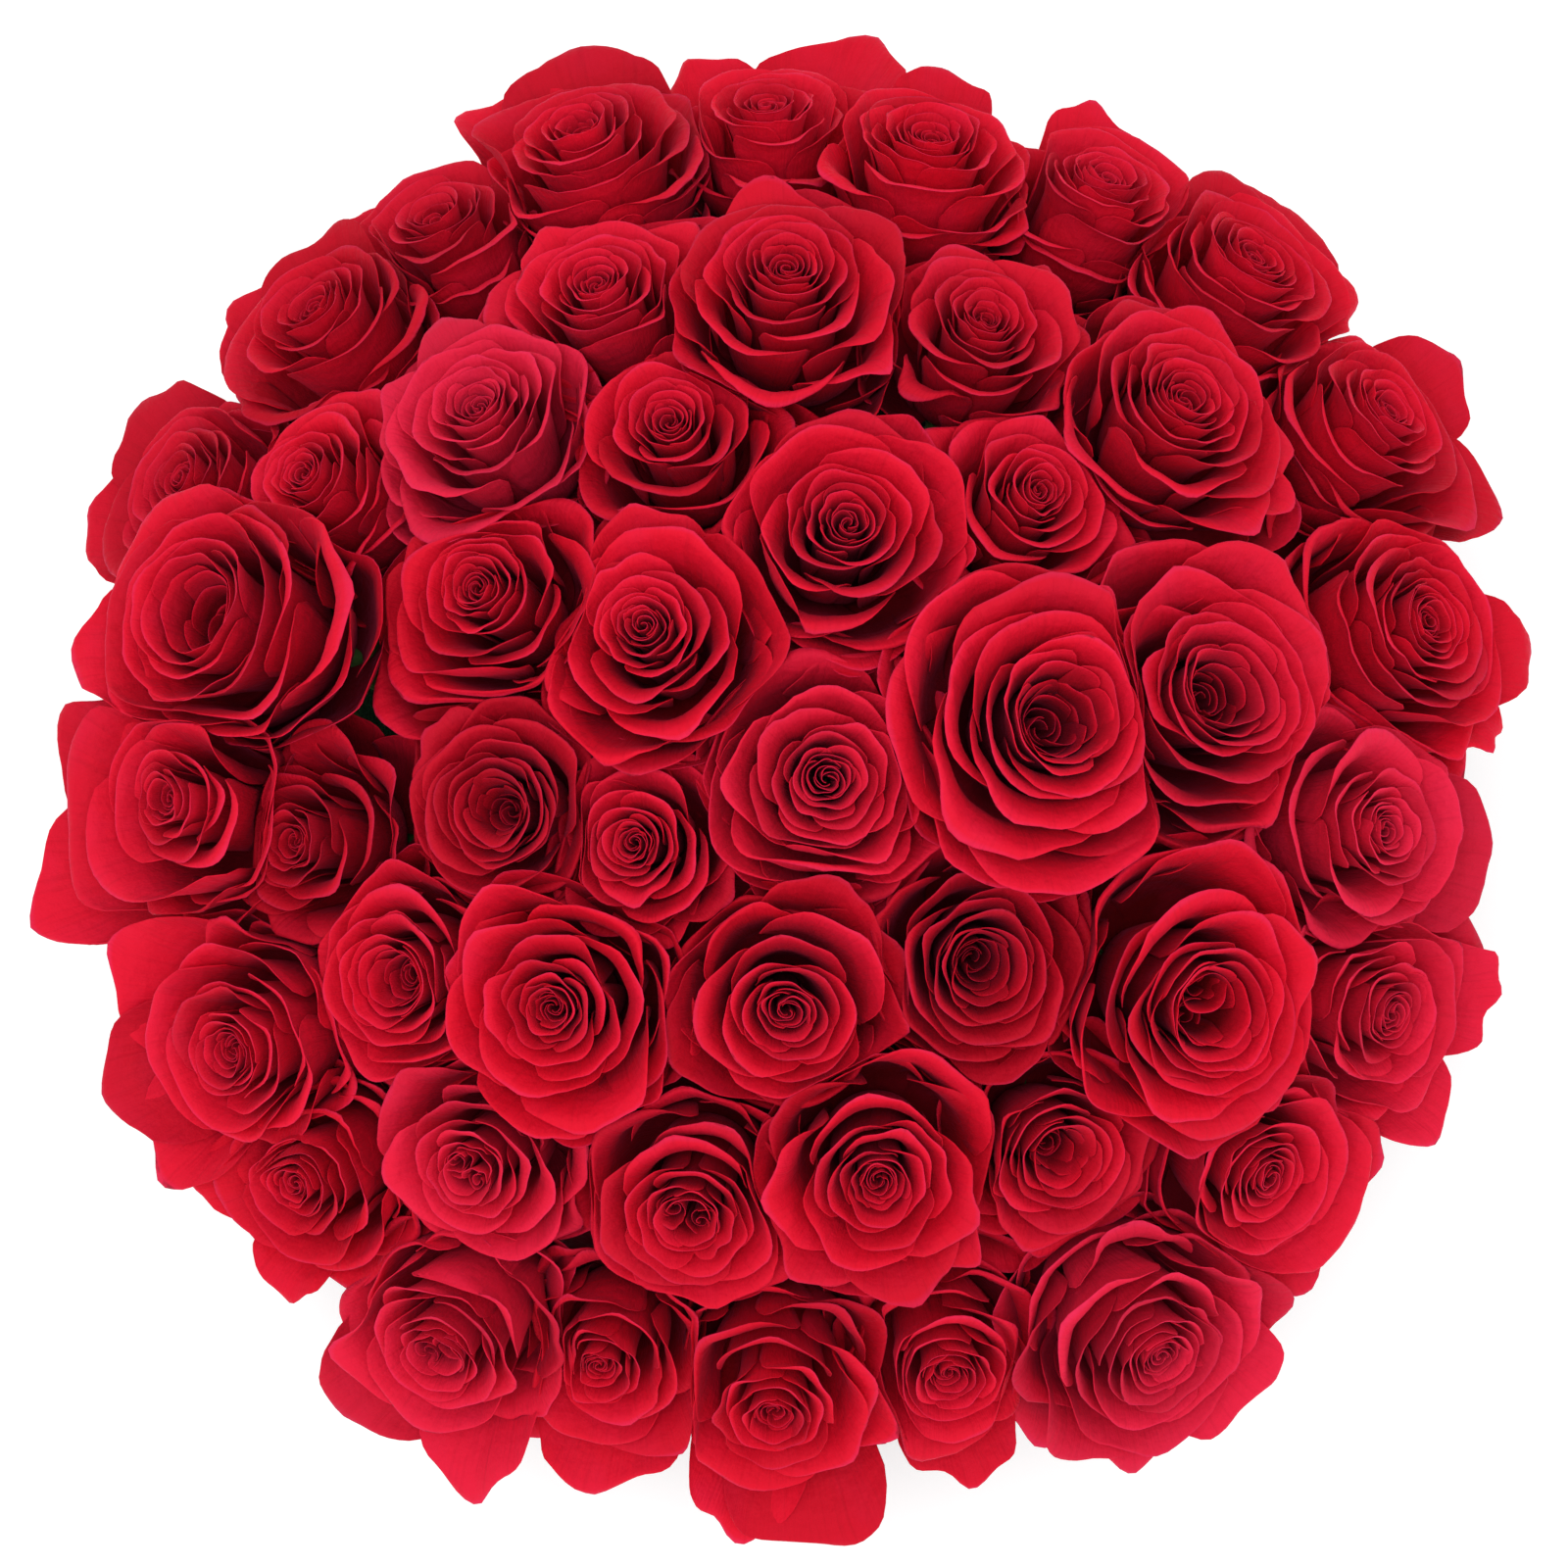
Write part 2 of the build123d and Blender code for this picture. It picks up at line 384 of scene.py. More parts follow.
def attribute(tree, name):
    """The number that a mesh stores under this name."""
    return add_node(tree, "ShaderNodeAttribute", attribute_name=name).outputs["Fac"]


def noise(tree, vector, scale, detail=3.0, roughness=0.5):
    """A noise pattern over a vector socket."""
    node = add_node(tree, "ShaderNodeTexNoise", Scale=scale, Detail=detail, Roughness=roughness)
    tree.links.new(vector, node.inputs["Vector"])
    return node.outputs["Fac"]


def object_position(tree):
    """The object's own coordinates, which move with it."""
    return add_node(tree, "ShaderNodeTexCoord").outputs["Object"]


def bump(tree, shader, height, strength, distance):
    """Raises a pattern on the shader's surface."""
    node = add_node(tree, "ShaderNodeBump", Strength=strength, Distance=distance)
    tree.links.new(height, node.inputs["Height"])
    tree.links.new(node.outputs["Normal"], shader.inputs["Normal"])


def petal_material():
    """Velvety petal: painted shade makes it deep red at its foot, a painted highlight brightens its rim;
    with veins and soft blotches.
    """
    material, tree, shader = new_material(
        "rose_petals",
        Roughness=0.7,
        IOR=1.4,
        Specular_IOR_Level=0.12,
        Sheen_Weight=0.1,
        Sheen_Roughness=0.4,
        Sheen_Tint=PETAL_SHEEN,
    )
    along = attribute(tree, "petal_along")
    across = attribute(tree, "petal_across")
    tone = attribute(tree, "petal_tone")
    place = object_position(tree)
    # Painted shade: darker the deeper it lies in the flower, below its own rim. Brighter in blotches of
    # its own tone, and a painted highlight at the very edge.
    depth = ramp(tree, attribute(tree, "petal_shade"), 0.85, 2.0)
    colour = mixed_colour(tree, depth, PETAL_BODY, PETAL_DEEP_AND_SHADE)
    blotch = ramp(tree, noise(tree, place, 55.0), 0.45, 0.75)
    colour = mixed_colour(tree, scaled(tree, blotch, 0.25), colour, PETAL_BLOTCH_AND_HIGHLIGHT)
    # A painted highlight: light catching the thin rolled rim of each petal.
    painted_rim_highlight = ramp(tree, along, 0.94, 1.0)
    colour = mixed_colour(tree, scaled(tree, painted_rim_highlight, 0.8), colour, PETAL_BLOTCH_AND_HIGHLIGHT)
    # The whole rose may be paler or darker: a random tone of its own, with painted light on the roses
    # listed in PALE_AND_PAINTED_LIGHT and painted shade on those listed in DARK_AND_PAINTED_SHADE.
    paler = mixed_colour(tree, 0.6, colour, PETAL_PALE_AND_LIGHT)
    colour = mixed_colour(tree, scaled(tree, attribute(tree, "petal_pale_and_light"), 0.75), colour, paler)
    colour = mixed_colour(tree, scaled(tree, attribute(tree, "petal_dark_and_shade"), 0.5), colour, PETAL_DEEP_AND_SHADE)
    # Bruises here and there along the edge.
    margin = ramp(tree, along, 0.975, 0.99)
    bruised = maths(tree, "MULTIPLY", margin, ramp(tree, noise(tree, place, 130.0), 0.6, 0.68))
    colour = mixed_colour(tree, scaled(tree, bruised, 0.6), colour, PETAL_BRUISE)
    # Veins: a noise stretched along the petal, and different on every petal.
    lines = add_node(tree, "ShaderNodeCombineXYZ")
    tree.links.new(scaled(tree, across, 26.0), lines.inputs["X"])
    tree.links.new(scaled(tree, along, 2.2), lines.inputs["Y"])
    tree.links.new(scaled(tree, tone, 40.0), lines.inputs["Z"])
    veins = noise(tree, lines.outputs["Vector"], 1.0, 2.0)
    vein_shade = scaled(tree, ramp(tree, veins, 0.5, 0.8), 0.15)
    colour = mixed_colour(tree, vein_shade, colour, PETAL_DEEP_AND_SHADE)
    petal_shade = scaled(tree, ramp(tree, tone, 0.55, 1.0), 0.3)
    colour = mixed_colour(tree, petal_shade, colour, PETAL_DEEP_AND_SHADE)
    tree.links.new(colour, shader.inputs["Base Color"])
    grain = noise(tree, place, 1400.0, 2.0)
    dents = noise(tree, place, 260.0, 2.0)
    height = maths(tree, "ADD", veins, scaled(tree, grain, 0.25))
    height = maths(tree, "ADD", height, scaled(tree, dents, 1.6))
    bump(tree, shader, height, 0.5, 0.0008)
    return material


def leafy_material(name, dark, light):
    """Green calyx and sepal skin, paler in patches."""
    material, tree, shader = new_material(name, Roughness=0.6, Specular_IOR_Level=0.3)
    place = object_position(tree)
    patches = ramp(tree, noise(tree, place, 90.0), 0.35, 0.7)
    tree.links.new(mixed_colour(tree, patches, dark, light), shader.inputs["Base Color"])
    bump(tree, shader, noise(tree, place, 900.0), 0.3, 0.0005)
    return material


def foam_material():
    """Floral foam: dark green, with fine open pores and pressed crumbs."""
    material, tree, shader = new_material("floral_foam", Roughness=0.95, Specular_IOR_Level=0.1)
    place = object_position(tree)
    pores = noise(tree, place, 1100.0, 4.0, 0.7)
    crumbs = noise(tree, place, 60.0, 4.0)
    colour = mixed_colour(tree, ramp(tree, pores, 0.4, 0.6), FOAM_PORE, FOAM_WALL)
    colour = mixed_colour(tree, ramp(tree, crumbs, 0.5, 0.8), colour, FOAM_CRUMB)
    tree.links.new(colour, shader.inputs["Base Color"])
    bump(tree, shader, pores, 0.8, 0.0015)
    return material


def paper_material(name, colour, light, relief):
    """Cover paper with a fine linen emboss: two crossed sets of threads with uneven strength."""
    material, tree, shader = new_material(name, Roughness=0.62, Specular_IOR_Level=0.35)
    place = object_position(tree)
    parts = add_node(tree, "ShaderNodeSeparateXYZ")
    tree.links.new(place, parts.inputs["Vector"])
    turn = maths(tree, "ARCTAN2", parts.outputs["Y"], parts.outputs["X"])
    wide = maths(tree, "SINE", scaled(tree, turn, 900.0), 0.0)
    tall = maths(tree, "SINE", scaled(tree, parts.outputs["Z"], 5600.0), 0.0)
    weave = scaled(tree, maths(tree, "ADD", wide, tall), 0.5)
    patchy = noise(tree, place, 260.0, 4.0, 0.65)
    height = maths(tree, "ADD", scaled(tree, weave, 0.5), patchy)
    tone = mixed_colour(tree, ramp(tree, height, 0.3, 1.1), colour, light)
    tree.links.new(tone, shader.inputs["Base Color"])
    bump(tree, shader, height, relief, 0.0004)
    return material


def board_material():
    """Grey recycled board, flecked."""
    material, tree, shader = new_material("box_board", Roughness=0.9, Specular_IOR_Level=0.2)
    flecks = noise(tree, object_position(tree), 700.0, 5.0, 0.7)
    colour = mixed_colour(tree, ramp(tree, flecks, 0.35, 0.7), BOARD_DARK, BOARD_LIGHT)
    tree.links.new(colour, shader.inputs["Base Color"])
    bump(tree, shader, flecks, 0.3, 0.0003)
    return material


def liner_material():
    """Moulded black plastic, lightly scuffed."""
    material, tree, shader = new_material("liner_plastic", Specular_IOR_Level=0.45)
    scuffs = noise(tree, object_position(tree), 180.0, 5.0, 0.7)
    colour = mixed_colour(tree, ramp(tree, scuffs, 0.5, 0.8), PLASTIC_BLACK, PLASTIC_SCUFF)
    tree.links.new(colour, shader.inputs["Base Color"])
    rough = add_node(tree, "ShaderNodeMapRange", From_Min=0.3, From_Max=0.8, To_Min=0.28, To_Max=0.5)
    tree.links.new(scuffs, rough.inputs["Value"])
    tree.links.new(rough.outputs["Result"], shader.inputs["Roughness"])
    bump(tree, shader, scuffs, 0.1, 0.0003)
    return material


# ---- where each rose stands ---------------------------------------------------------------


class Rose:
    """One rose: its name, axis, calyx point, radius, height and neighbours, in millimetres."""

    def __init__(self, name, axis, seat_distance):
        self.name = name
        self.number = int(name[-2:])
        points = node_points(name) / MM
        self.axis = axis
        self.seat = axis * seat_distance
        along = (points - self.seat) @ axis
        self.height = along.max()
        self.radius = (self.height - HEAD_BASE_HEIGHT) / HEAD_HEIGHT_PER_RADIUS
        self.centre = self.seat + axis * (HEAD_CENTRE_SHARE * self.height)
        self.rise = seat_distance - CALYX_DOME_RADIUS
        self.across = unit(np.cross([0, 0, 1], axis))
        self.up = np.cross(axis, self.across)
        self.walls = []

    def place(self, points):
        """Moves points from the rose's own frame, with its calyx at the origin, to the dome."""
        return (
            self.seat
            + points[..., 0:1] * self.across
            + points[..., 1:2] * self.up
            + points[..., 2:3] * self.axis
        )

    def strength(self):
        """How hard this rose presses: more when it is large or stands high."""
        return (self.radius + RISE_PUSH * self.rise) * PUSH.get(self.name, 1)

    def share_with(self, others):
        """Finds the walls where this rose meets its neighbours, and the room that they leave it.

        A wall is a direction, a distance and its waves.
        """
        for other in others:
            if other is self:
                continue
            step = other.centre - self.centre
            distance = np.linalg.norm(step)
            if distance > NEIGHBOUR_REACH * (self.radius + other.radius):
                continue
            own = self.strength() ** FAIRNESS
            their = other.strength() ** FAIRNESS
            share = distance * own / (own + their)
            towards = step / distance
            meeting = self.centre + share * towards
            direction = unit(towards - overlap(self, other) * unit(self.axis + other.axis))
            wall_distance = float((meeting - self.centre) @ direction)
            self.walls.append((direction, wall_distance, wavy_side(self, other)))
        bearings = np.linspace(0, 2 * math.pi, ROOM_STEPS, endpoint=False)
        free = np.array([free_reach(self, bearing) for bearing in bearings])
        self.bloom = float(np.minimum(free, self.radius).mean())
        looseness = smooth_step(free / self.radius, LOOSE_FROM, LOOSE_TO)
        spread = SPREADS.get(self.name, SPREAD) * looseness
        room = np.minimum(free, SNUG_ROOM * self.radius) + self.radius * spread
        shifted = [np.roll(room, step) for step in range(-ROOM_BLUR, ROOM_BLUR + 1)]
        self.room = sum(shifted) / len(shifted)

    def room_at(self, bearing):
        """The radius to which the bloom opens in one direction: more where nothing is in its way."""
        step = (bearing / (2 * math.pi) * ROOM_STEPS) % ROOM_STEPS
        return float(np.interp(step, np.arange(ROOM_STEPS + 1), np.append(self.room, self.room[0])))


def pair_chance(rose, other, stream):
    """The random draws of a pair of roses, the same whichever of them asks."""
    low, high = sorted((rose.number, other.number))
    return np.random.default_rng(SEED * stream + low * 50 + high)


def wavy_side(rose, other):
    """The gentle waves in the wall between two roses, seen from the first one's side."""
    chance = pair_chance(rose, other, WALL_STREAM)
    waves = unit(chance.normal(size=(2, 3))) * (2 * math.pi / WALL_WAVELENGTH)
    phases = chance.uniform(0, 2 * math.pi, 2)
    height = WALL_WAVE if rose.number < other.number else -WALL_WAVE

    def shift(points):
        return height * np.sin(points @ waves.T + phases).mean(axis=-1)

    return shift


def overlap(rose, other):
    """How strongly one rose leans over another: positive when it is the upper one."""
    luck = pair_chance(rose, other, OVERLAP_STREAM).uniform(-0.5, 0.5)
    if rose.number > other.number:
        luck = -luck
    lead = (rose.rise - other.rise) / RISE_PER_OVERLAP
    return float(np.clip(lead + luck, -MOST_OVERLAP, MOST_OVERLAP))


def find_roses():
    """Reads every rose's axis and calyx from the frame, and matches it to its head."""
    names = [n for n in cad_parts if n.startswith("rose_") and n[5:].isdigit()]
    heads = {n: node_points(n) / MM for n in names}
    roses = []
    for part in loose_parts("rose_calyxes"):
        axis = unit(part.mean(axis=0))
        seat_distance = (part @ axis).max() / MM
        seat = axis * seat_distance
        name = min(heads, key=lambda n: np.linalg.norm(heads[n] - seat, axis=1).min())
        roses.append(Rose(name, axis, seat_distance))
    roses.sort(key=lambda rose: rose.number)
    for rose in roses:
        rose.share_with(roses)
    return roses


# ---- one petal ----------------------------------------------------------------------------


def profile(run, foot, belly, neck, rim, lean, curl, curl_length):
    """Points of a petal's long section: a curve from foot to rim, then an outward roll."""
    t = np.clip(run / ROLL_FROM, 0, 1)
    a = (1 - t) ** 3
    b = 3 * (1 - t) ** 2 * t
    c = 3 * (1 - t) * t**2
    d = t**3
    radius = a * foot[0] + b * belly[0] + c * neck[0] + d * rim[0]
    height = a * foot[1] + b * belly[1] + c * neck[1] + d * rim[1]
    roll = np.clip((run - ROLL_FROM) / (1 - ROLL_FROM), 0, None)
    angle = lean + curl * roll
    radius = radius + curl_length / curl * (np.cos(lean) - np.cos(angle))
    height = height + curl_length / curl * (np.sin(angle) - np.sin(lean))
    return radius, height


def petal_surface(plan):
    """The middle surface of one petal, as a grid of points in the rose's own frame.

    u goes across the petal, from -1 to 1, and run along it, from 0 at its foot to 1 at its rim.
    """
    u = np.linspace(-1, 1, ACROSS + 1)[:, None]
    s = np.linspace(0, 1, ALONG + 1)[None, :]
    t = 1 - (1 - s) ** 1.5
    side = np.abs(u)
    corners = plan["shoulder"] * side ** plan["squareness"]
    tip = plan["tip"] * np.exp(-((u / TIP_WIDTH) ** 2))
    run = t * (1 - corners + tip)
    widening = np.sin(np.clip(run / FULL_WIDTH_AT, 0, 1) * math.pi / 2)
    spread = plan["width"] * (FOOT_WIDTH + WIDENING * widening)
    turn = plan["bearing"] + plan["hand"] * spread * u
    curl = plan["curl"] * (0.7 + plan["side_roll"] * side**1.5) + 0 * s
    lean = plan["lean"] + 0 * u + 0 * s
    radius, height = profile(
        run, plan["foot"], plan["belly"], plan["neck"], plan["rim"], lean, curl, plan["curl_length"]
    )
    fold = plan["point"] * (np.sqrt(u**2 + FOLD_ROUNDING) - FOLD_DEPTH) * run**2
    radius = radius * (1 - plan["cup"] * u**2 * run - fold)
    radius = radius + plan["scroll"] * u * run
    slow = np.sin(plan["waves"] * u + plan["phase"])
    quick = np.sin(2.3 * plan["waves"] * u + 2 * plan["phase"])
    radius = radius + plan["ruffle"] * (slow + 0.6 * quick) * run**3
    height = height + 0.7 * plan["ruffle"] * np.cos(plan["waves"] * u + 1.7 * plan["phase"]) * run**3
    points = np.stack([radius * np.cos(turn), radius * np.sin(turn), height], axis=-1)
    points[..., 0] += plan["offset"][0]
    points[..., 1] += plan["offset"][1]
    return points, u + 0 * s, run


def surface_normals(points):
    """A unit normal at each point of a grid."""
    across = np.gradient(points, axis=0)
    along = np.gradient(points, axis=1)
    return unit(np.cross(across, along))


def shell_quads(rows, columns):
    """The faces of a closed shell made of two grids of points joined round their edge."""
    grid = np.arange(rows * columns).reshape(rows, columns)
    front = np.stack([grid[:-1, :-1], grid[1:, :-1], grid[1:, 1:], grid[:-1, 1:]], axis=-1).reshape(-1, 4)
    back = front[:, ::-1] + rows * columns
    loop = np.concatenate([grid[:-1, 0], grid[-1, :-1], grid[:0:-1, -1], grid[0, :0:-1]])
    ahead = np.roll(loop, -1)
    rim = np.stack([ahead, loop, loop + rows * columns, ahead + rows * columns], axis=-1)
    return np.concatenate([front, back, rim])


# ---- one rose -----------------------------------------------------------------------------


def soft_field(chance, strength, wavelength):
    """A smooth random push that neighbouring petals share, so that they never cross."""
    waves = unit(chance.normal(size=(FIELD_WAVES, 3))) * (2 * math.pi / wavelength)
    waves = waves * chance.uniform(0.6, 1.5, (FIELD_WAVES, 1))
    pushes = unit(chance.normal(size=(FIELD_WAVES, 3))) * strength
    phases = chance.uniform(0, 2 * math.pi, FIELD_WAVES)

    def push(points):
        return np.sin(points @ waves.T + phases) @ pushes / math.sqrt(FIELD_WAVES)

    return push


def free_reach(rose, bearing):
    """How far a petal can spread this way before a neighbour stops it."""
    way = math.cos(bearing) * rose.across + math.sin(bearing) * rose.up
    nearest = OPEN_REACH * rose.radius
    for direction, share, _ in rose.walls:
        facing = float(way @ direction)
        if facing > LEAST_FACING:
            nearest = min(nearest, share / facing)
    return nearest


class Habit:
    """How one rose grows: what its petals share, so that no two roses look alike.

    The hand is the sense of its spiral. The heart, spacing, dip and fall are shares of its radius
    and height: how far out the first petals stand, how the next ones follow, how deep the centre
    lies, and how much lower the outermost rims are.
    """

    def __init__(self, rose, chance):
        self.hand = 1 if chance.random() < 0.5 else -1
        self.start = chance.uniform(0, 2 * math.pi)
        usual = chance.integers(FEWEST_PETALS, MOST_PETALS + 1)
        self.petals = round(usual * math.sqrt(rose.bloom / MIDDLE_RADIUS))
        self.cup = rose.name in CUPS
        self.double = rose.name in DOUBLES
        self.heart = chance.uniform(0.05, 0.07)
        self.spacing = chance.uniform(0.38, 0.52)
        self.dip = chance.uniform(0.03, 0.12)
        self.fall = chance.uniform(0.14, 0.24)
        self.lean = chance.uniform(-5, 8)
        self.twin = chance.uniform(0, math.pi)
        if self.cup:
            self.heart = chance.uniform(0.08, 0.1)
            self.spacing = chance.uniform(0.56, 0.66)
            self.dip = chance.uniform(0.32, 0.44)


# Each petal has a plan. Its bearing and width are angles round the rose. Its order goes from 0 at
# the centre to 1 at the edge of the bloom. Its rim is a distance from the axis and a height, with
# the lean and curl of the rim as angles, and a scroll that brings one side nearer to the centre.
# Shoulder and squareness round off its outline, point folds its middle, side_roll curls its sides
# more, frill waves its rim, and lift and spill say what it does at a neighbour. Its open_face says
# how far below its rim it stays bright, before the painted shade of the flower's depth sets in.


def bloom_petal(rose, habit, k, chance):
    """The shape of one petal of the bloom itself, k counted from the centre."""
    height = rose.height
    order = k / (habit.petals - 1)
    bearing = habit.start + habit.hand * k * GOLDEN_ANGLE + chance.uniform(-0.25, 0.25)
    room = min(rose.room_at(bearing), WIDEST_BLOOM * rose.radius)
    radius = 0.96 * (rose.bloom + (room - rose.bloom) * smooth_step(order, 0.2, 0.9))
    place = np.clip(order + chance.uniform(-0.3, 0.3) / habit.petals, 0, 1)
    outermost = 0.98 - habit.heart - habit.spacing
    rim_radius = radius * (habit.heart + habit.spacing * place + outermost * place**3)
    centre_dip = habit.dip * (1 - smooth_step(order, 0.05, 0.5))
    rim_height = height * (0.97 - habit.fall * place**3 - centre_dip)
    rim_height *= chance.uniform(0.97, 1.03)
    lean = math.radians(2 + 50 * place**1.5 + habit.lean * place + chance.uniform(-6, 6))
    curl = math.radians(16 + 62 * place + chance.uniform(-14, 26))
    width = math.radians(112 - 46 * order) * chance.uniform(0.88, 1.14)
    scroll = 0.7 * chance.uniform(-1, 1) * (0.3 + order)
    offset = (0.0, 0.0)
    shoulder = 0.26 + 0.1 * order
    if k < CENTRE_PETALS:
        width = math.radians(150 - 60 * k / CENTRE_PETALS)
        scroll = 0.42 * rim_radius + 0.3
        curl = math.radians(14 + 3 * k)
        shoulder = 0.15
    if k < CENTRE_PETALS + 3 and habit.double:
        reach = 0.15 * radius * (1 if k % 2 else -1)
        offset = (reach * math.cos(habit.twin), reach * math.sin(habit.twin))
        rim_radius *= 0.85
    return {
        "bearing": bearing,
        "width": width,
        "order": order,
        "rim": (rim_radius, rim_height),
        "lean": lean,
        "curl": curl,
        "curl_length": height * (0.01 + 0.05 * order**2) * chance.uniform(0.6, 1.5),
        "scroll": scroll,
        "shoulder": shoulder,
        "squareness": 3.0,
        "point": 0.24 * smooth_step(order, 0.55, 1.0) * chance.uniform(0, 1),
        "offset": offset,
        "side_roll": 0.6,
        "lift": 0.1,
        "spill": 0.0,
        "frill": 1.0,
        "open_face": 20.0,
    }


def skirt_petal(rose, habit, k, chance):
    """The shape of one loose outer petal, which spreads until it meets a neighbour."""
    radius = rose.radius
    bearing = habit.start + habit.hand * (habit.petals + k) * GOLDEN_ANGLE
    bearing += chance.uniform(-0.15, 0.15)
    free = free_reach(rose, bearing)
    loose = smooth_step(free / radius, 1.05, 1.6)
    depth = k / (SKIRT_PETALS - 1)
    blocked = np.clip(1.12 * free, 1.03 * rose.bloom, 1.1 * radius)
    spread = 1.08 * rose.room_at(bearing)
    rim_radius = float(blocked + (max(spread, blocked) - blocked) * loose) + 0.04 * radius * depth
    rim_radius *= 1 + chance.uniform(-0.09, 0.05) * loose
    rim_height = rose.height * (0.7 - 0.13 * depth + 0.1 * loose)
    return {
        "bearing": bearing,
        "width": math.radians(chance.uniform(42, 60) - 13 * loose),
        "order": 1.0 + 0.12 * depth,
        "rim": (rim_radius, rim_height),
        "lean": math.radians(56 + 10 * loose + chance.uniform(-8, 10)),
        "curl": math.radians(50 + chance.uniform(-20, 40)),
        "curl_length": 0.085 * rose.height * chance.uniform(0.6, 1.3),
        "scroll": 1.5 * chance.uniform(-1, 1),
        "shoulder": 0.32 + 0.14 * loose,
        "squareness": 3.2 - 1.0 * loose,
        "point": chance.uniform(0.08, 0.36) * (1 - 0.2 * loose),
        "offset": (0.0, 0.0),
        "side_roll": 1.4,
        "lift": -0.3,
        "spill": 2.5,
        "frill": 1.0 + 0.9 * loose,
        "open_face": 15.0 + 7.0 * loose,
    }


def guard_petal(rose, habit, k, chance):
    """The shape of one of the lowest petals, which fill the gaps between the roses."""
    bearing = habit.start + 1.0 + habit.hand * k * 2 * math.pi / GUARD_PETALS
    bearing += chance.uniform(-0.25, 0.25)
    longest = GUARD_REACH if rose.number < FIRST_OUTER else OUTER_GUARD_REACH
    reach = min(1.2 * free_reach(rose, bearing), longest * rose.radius)
    return {
        "bearing": bearing,
        "width": math.radians(chance.uniform(40, 52)),
        "order": 1.12,
        "rim": (max(reach, rose.bloom), rose.height * chance.uniform(0.34, 0.46)),
        "lean": math.radians(chance.uniform(52, 68)),
        "curl": math.radians(chance.uniform(30, 80)),
        "curl_length": 0.08 * rose.height,
        "scroll": 1.5 * chance.uniform(-1, 1),
        "shoulder": 0.34,
        "squareness": 2.8,
        "point": chance.uniform(0.12, 0.32),
        "offset": (0.0, 0.0),
        "side_roll": 1.4,
        "lift": -0.1,
        "spill": 5.0,
        "frill": 1.3,
        # A short open face: painted shade darkens these low petals in the gaps between the roses.
        "open_face": 10.0,
    }


def petal_plans(rose, chance):
    """The shape of each petal of one rose, from its centre outwards.

    A petal's long section runs from its foot by way of its belly and neck to its rim, each a
    distance from the rose's axis and a height above its calyx.
    """
    habit = Habit(rose, chance)
    plans = [bloom_petal(rose, habit, k, chance) for k in range(habit.petals)]
    plans += [skirt_petal(rose, habit, k, chance) for k in range(SKIRT_PETALS)]
    plans += [guard_petal(rose, habit, k, chance) for k in range(GUARD_PETALS)]
    for plan in plans:
        order = plan["order"]
        rim_radius, rim_height = plan["rim"]
        neck_step = 0.34 * rim_height
        foot = (1.4 + 3.6 * order, 2.5 * max(1 - order, 0))
        plan["hand"] = habit.hand
        plan["foot"] = foot
        plan["neck"] = (
            rim_radius - neck_step * math.sin(plan["lean"]),
            rim_height - neck_step * math.cos(plan["lean"]),
        )
        plan["belly"] = (
            max(0.82 * min(rim_radius, 1.1 * rose.bloom), foot[0] + 0.5),
            (0.05 + 0.04 * order) * rose.height,
        )
        plan["cup"] = 0.03 + 0.1 * max(1 - order, 0)
        plan["tip"] = chance.uniform(0.0, 0.045) * min(order, 1)
        plan["waves"] = chance.uniform(3.0, 6.0)
        plan["phase"] = chance.uniform(0, 2 * math.pi)
        ruffle = (0.1 + 0.85 * order) * plan["frill"] * rose.bloom / MIDDLE_RADIUS
        plan["ruffle"] = ruffle * chance.uniform(0.5, 1.4)
        plan["face"] = plan["open_face"] * (0.25 + 0.75 * min(order, 1) ** 1.5)
    return plans


def press_on_neighbours(rose, points, lift, spill):
    """Squeezes petals towards their own rose where a neighbour is in the way, and lifts them.

    The spill is how far they may reach past the wall, over or under the neighbour.
    """
    for direction, share, shift in rose.walls:
        reach = (points - rose.centre) @ direction
        limit = np.maximum(share - WALL_GAP + spill + shift(points), LEAST_HOLD * rose.radius)
        start = SOFT_START * limit
        room = limit - start
        excess = np.maximum(reach - start, 0)
        held = room * (1 - np.exp(-excess / room))
        back = excess - held
        points = points - back[..., None] * direction + lift * back[..., None] * rose.axis
    return points


def clear_the_rim(points, rim_height, rim_radius):
    """Lifts what would sink into the box's rim."""
    out = np.linalg.norm(points[..., :2], axis=-1)
    near = 1 - smooth_step(out, rim_radius + RIM_NEAR, rim_radius + RIM_FAR)
    deficit = np.maximum(rim_height + RIM_CLEARANCE - points[..., 2], 0) * near
    points[..., 2] += deficit
    return points


